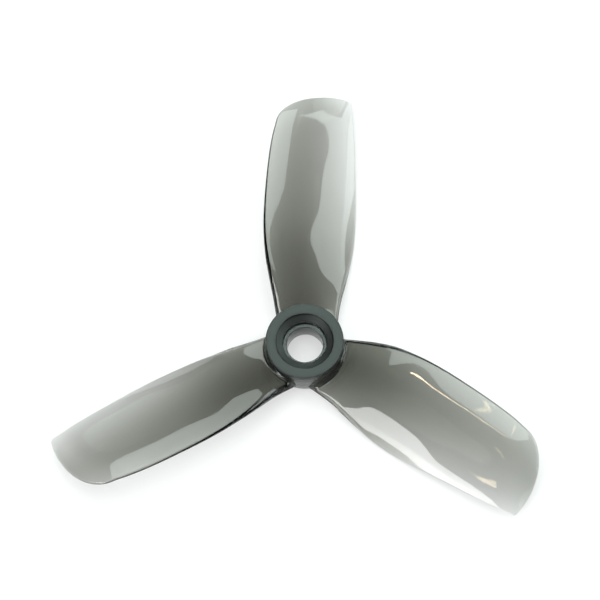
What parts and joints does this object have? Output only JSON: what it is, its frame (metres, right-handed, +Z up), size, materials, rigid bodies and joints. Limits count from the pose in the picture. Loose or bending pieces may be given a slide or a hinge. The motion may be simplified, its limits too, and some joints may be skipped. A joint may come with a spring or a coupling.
{
  "type": "propeller",
  "caption": "Small multirotor drone propeller with swept, twisted translucent blades on a stepped ring hub that slips over a motor shaft.",
  "frame": {"origin": "on the spin axis, at the hub's lower face, which seats on the motor", "axes": "+Z up along the spin axis, towards the nut face; +Y along blade_1; the propeller turns anticlockwise seen from +Z"},
  "size_m": [0.0683, 0.0624, 0.0068],
  "materials": {
    "smoked_hub": "smoked clear polycarbonate, so thick that it looks near black; fine matte moulded top face",
    "smoked_blade": "smoked clear polycarbonate, polished mould finish"
  },
  "bodies": {
    "root": {"hub": "smoked_hub", "blade_1": "smoked_blade", "blade_2": "smoked_blade", "blade_3": "smoked_blade"}
  },
  "joints": []
}
